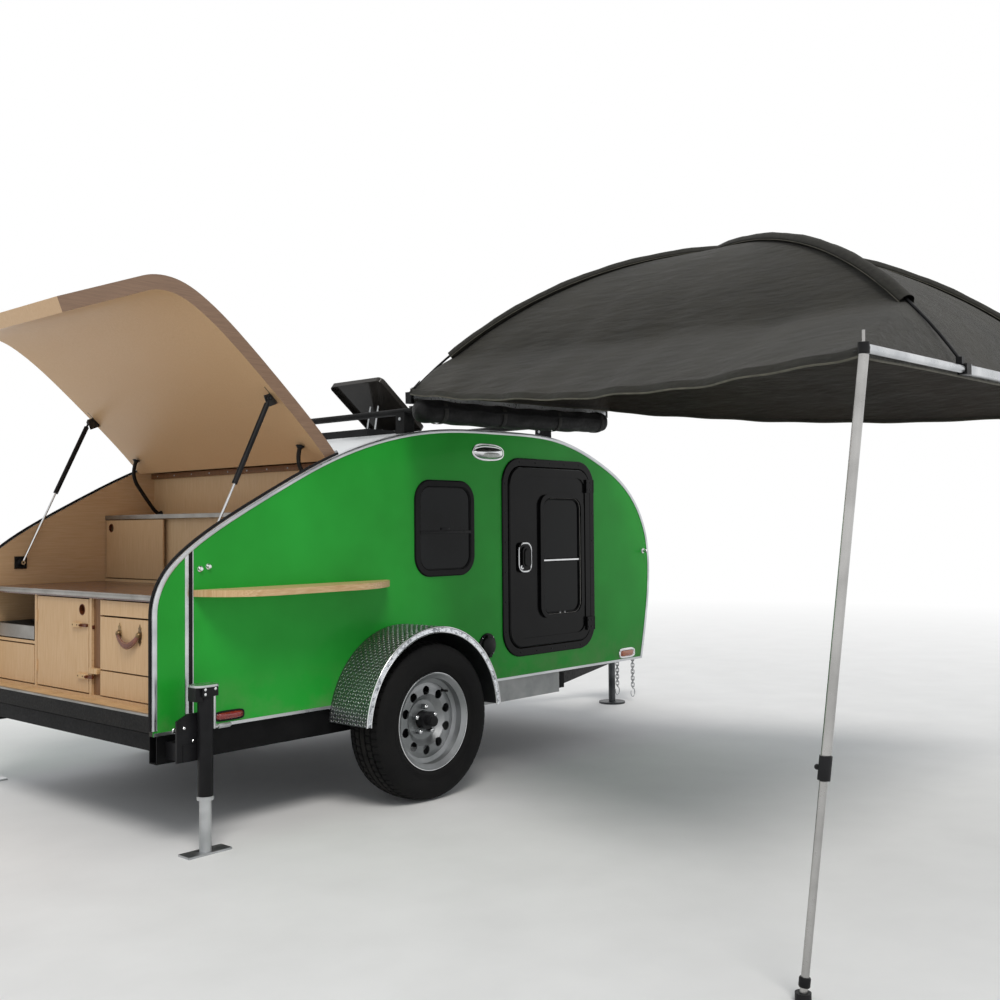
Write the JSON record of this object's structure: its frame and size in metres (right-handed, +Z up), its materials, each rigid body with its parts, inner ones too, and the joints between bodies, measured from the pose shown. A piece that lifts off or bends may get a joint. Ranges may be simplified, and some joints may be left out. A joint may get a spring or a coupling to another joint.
{
  "type": "teardrop trailer",
  "caption": "Teardrop camping trailer with a raised galley hatch on gas struts, side doors, roof bars and a domed awning on poles",
  "frame": {"origin": "on the ground under the middle of the axle", "axes": "+X towards the tongue, +Y to the trailer's left, +Z up"},
  "size_m": [4.5509, 4.212, 2.3272],
  "materials": {
    "green_panel": "gloss",
    "roof_skin": "satin",
    "hatch_wood": "clear lacquer",
    "ply": "clear lacquer",
    "counter": "dark stain",
    "shelf_wood": "clear lacquer",
    "floor_board": "painted",
    "black_plastic": "satin",
    "tinted_glass": "tinted",
    "smoked_acrylic": "smoked",
    "frame_steel": "silver",
    "black_steel": "satin",
    "zinc_steel": "zinc plated",
    "tread_plate": "diamond plate",
    "awning_aluminium": "anodised",
    "bow_fibre": "satin",
    "canopy_cloth": "woven",
    "bag_cloth": "coated",
    "tyre_rubber": "matte",
    "wheel_steel": "silver",
    "loom_rubber": "matte"
  },
  "bodies": {
    "trailer": {"wall_right": "green_panel", "wall_left": "green_panel", "roof_panel": "roof_skin", "floor_panel": "floor_board", "bulkhead": "ply", "loom_right": "loom_rubber", "loom_left": "loom_rubber", "door_casing_right": "black_plastic", "door_casing_left": "black_plastic", "window_right": "tinted_glass", "window_left": "tinted_glass", "chassis_frame": "frame_steel", "tongue": "black_steel", "axle": "black_steel", "fender_right": "tread_plate", "fender_left": "tread_plate", "counter_top": "counter", "lower_cabinet": "ply", "upper_cabinet": "ply", "side_shelf": "shelf_wood", "vent_curb": "black_plastic", "crossbar_rear": "black_steel", "crossbar_front": "black_steel", "awning_base": "awning_aluminium", "awning_bag": "bag_cloth", "awning_canopy": "canopy_cloth", "awning_bows": "bow_fibre", "awning_rail": "awning_aluminium", "awning_pole_rear": "awning_aluminium", "awning_pole_front": "awning_aluminium", "rear_jack_right": "black_steel", "rear_jack_left": "black_steel", "tongue_jack": "black_steel"},
    "wheel_right": {"tyre_right": "tyre_rubber", "rim_right": "wheel_steel", "hub_right": "black_steel"},
    "wheel_left": {"tyre_left": "tyre_rubber", "rim_left": "wheel_steel", "hub_left": "black_steel"},
    "hatch_panel": {"hatch": "hatch_wood", "hatch_latch": "black_plastic"},
    "cylinder_right": {"strut_cylinder_right": "black_steel"},
    "rod_right": {"strut_rod_right": "zinc_steel"},
    "cylinder_left": {"strut_cylinder_left": "black_steel"},
    "rod_left": {"strut_rod_left": "zinc_steel"},
    "entry_door_right": {"door_right": "black_plastic", "door_glass_right": "tinted_glass"},
    "entry_door_left": {"door_left": "black_plastic", "door_glass_left": "tinted_glass"},
    "vent_cover": {"vent_lid": "smoked_acrylic"},
    "cutlery_drawer": {"drawer_shallow": "ply"},
    "pantry_drawer": {"drawer_deep": "ply"},
    "low_drawer": {"drawer_low": "ply"},
    "stove_slide": {"stove_tray": "ply"},
    "cupboard_door": {"galley_door": "ply"},
    "sliding_door_right": {"upper_door_right": "ply"},
    "sliding_door_left": {"upper_door_left": "ply"},
    "leg_right": {"jack_leg_right": "zinc_steel"},
    "leg_left": {"jack_leg_left": "zinc_steel"},
    "leg_tongue": {"tongue_leg": "zinc_steel"}
  },
  "joints": [
    {"name": "wheel_right_spin", "type": "hinge", "parent": "trailer", "child": "wheel_right", "pos_m": [0, -0.887, 0.335], "axis": [0, 1, 0], "continuous": true},
    {"name": "wheel_left_spin", "type": "hinge", "parent": "trailer", "child": "wheel_left", "pos_m": [0, 0.887, 0.335], "axis": [0, 1, 0], "continuous": true},
    {"name": "hatch_hinge", "type": "hinge", "parent": "trailer", "child": "hatch_panel", "pos_m": [-0.32811, 0, 1.48045], "axis": [0, 1, 0], "range_deg": [-69, 0], "deforming": ["loom_right", "loom_left"]},
    {"name": "strut_right_turn", "type": "hinge", "parent": "hatch_panel", "child": "cylinder_right", "pos_m": [-0.66, -0.712, 1.684], "axis": [0, -1, 0], "range_deg": [-100.5, 0.5]},
    {"name": "strut_right_slide", "type": "slide", "parent": "cylinder_right", "child": "rod_right", "axis": [-0.437, 0, -0.8995], "range_m": [-0.3285, 0.0005]},
    {"name": "strut_left_turn", "type": "hinge", "parent": "hatch_panel", "child": "cylinder_left", "pos_m": [-0.66, 0.712, 1.684], "axis": [0, -1, 0], "range_deg": [-100.5, 0.5]},
    {"name": "strut_left_slide", "type": "slide", "parent": "cylinder_left", "child": "rod_left", "axis": [-0.437, 0, -0.8995], "range_m": [-0.3285, 0.0005]},
    {"name": "entry_door_right_hinge", "type": "hinge", "parent": "trailer", "child": "entry_door_right", "pos_m": [1.4, -0.782, 1.012], "axis": [0, 0, 1], "range_deg": [0, 105]},
    {"name": "entry_door_left_hinge", "type": "hinge", "parent": "trailer", "child": "entry_door_left", "pos_m": [1.4, 0.782, 1.012], "axis": [0, 0, -1], "range_deg": [0, 105]},
    {"name": "vent_lid_hinge", "type": "hinge", "parent": "trailer", "child": "vent_cover", "pos_m": [0.716, 0, 1.662], "axis": [0, 1, 0], "range_deg": [-38, 22]},
    {"name": "cutlery_drawer_slide", "type": "slide", "parent": "trailer", "child": "cutlery_drawer", "axis": [-1, 0, 0], "range_m": [0, 0.42]},
    {"name": "pantry_drawer_slide", "type": "slide", "parent": "trailer", "child": "pantry_drawer", "axis": [-1, 0, 0], "range_m": [0, 0.48]},
    {"name": "low_drawer_slide", "type": "slide", "parent": "trailer", "child": "low_drawer", "axis": [-1, 0, 0], "range_m": [0, 0.42]},
    {"name": "stove_tray_slide", "type": "slide", "parent": "trailer", "child": "stove_slide", "axis": [-1, 0, 0], "range_m": [0, 0.45]},
    {"name": "cupboard_door_hinge", "type": "hinge", "parent": "trailer", "child": "cupboard_door", "pos_m": [-1.127, 0.284, 0.694], "axis": [0, 0, -1], "range_deg": [0, 90]},
    {"name": "upper_door_right_slide", "type": "slide", "parent": "trailer", "child": "sliding_door_right", "axis": [0, 1, 0], "range_m": [0, 0.45]},
    {"name": "upper_door_left_slide", "type": "slide", "parent": "trailer", "child": "sliding_door_left", "axis": [0, -1, 0], "range_m": [0, 0.45]},
    {"name": "rear_jack_right_slide", "type": "slide", "parent": "trailer", "child": "leg_right", "axis": [0, 0, 1], "range_m": [0, 0.18]},
    {"name": "rear_jack_left_slide", "type": "slide", "parent": "trailer", "child": "leg_left", "axis": [0, 0, 1], "range_m": [0, 0.18]},
    {"name": "tongue_jack_slide", "type": "slide", "parent": "trailer", "child": "leg_tongue", "axis": [0, 0, 1], "range_m": [0, 0.25]}
  ],
  "couplings": [
    {"joint": "strut_right_turn", "follows": "hatch_hinge", "ratio": 1.4462},
    {"joint": "strut_right_slide", "follows": "hatch_hinge", "m_per_rad": 0.27194},
    {"joint": "strut_left_turn", "follows": "hatch_hinge", "ratio": 1.4462},
    {"joint": "strut_left_slide", "follows": "hatch_hinge", "m_per_rad": 0.27194}
  ]
}
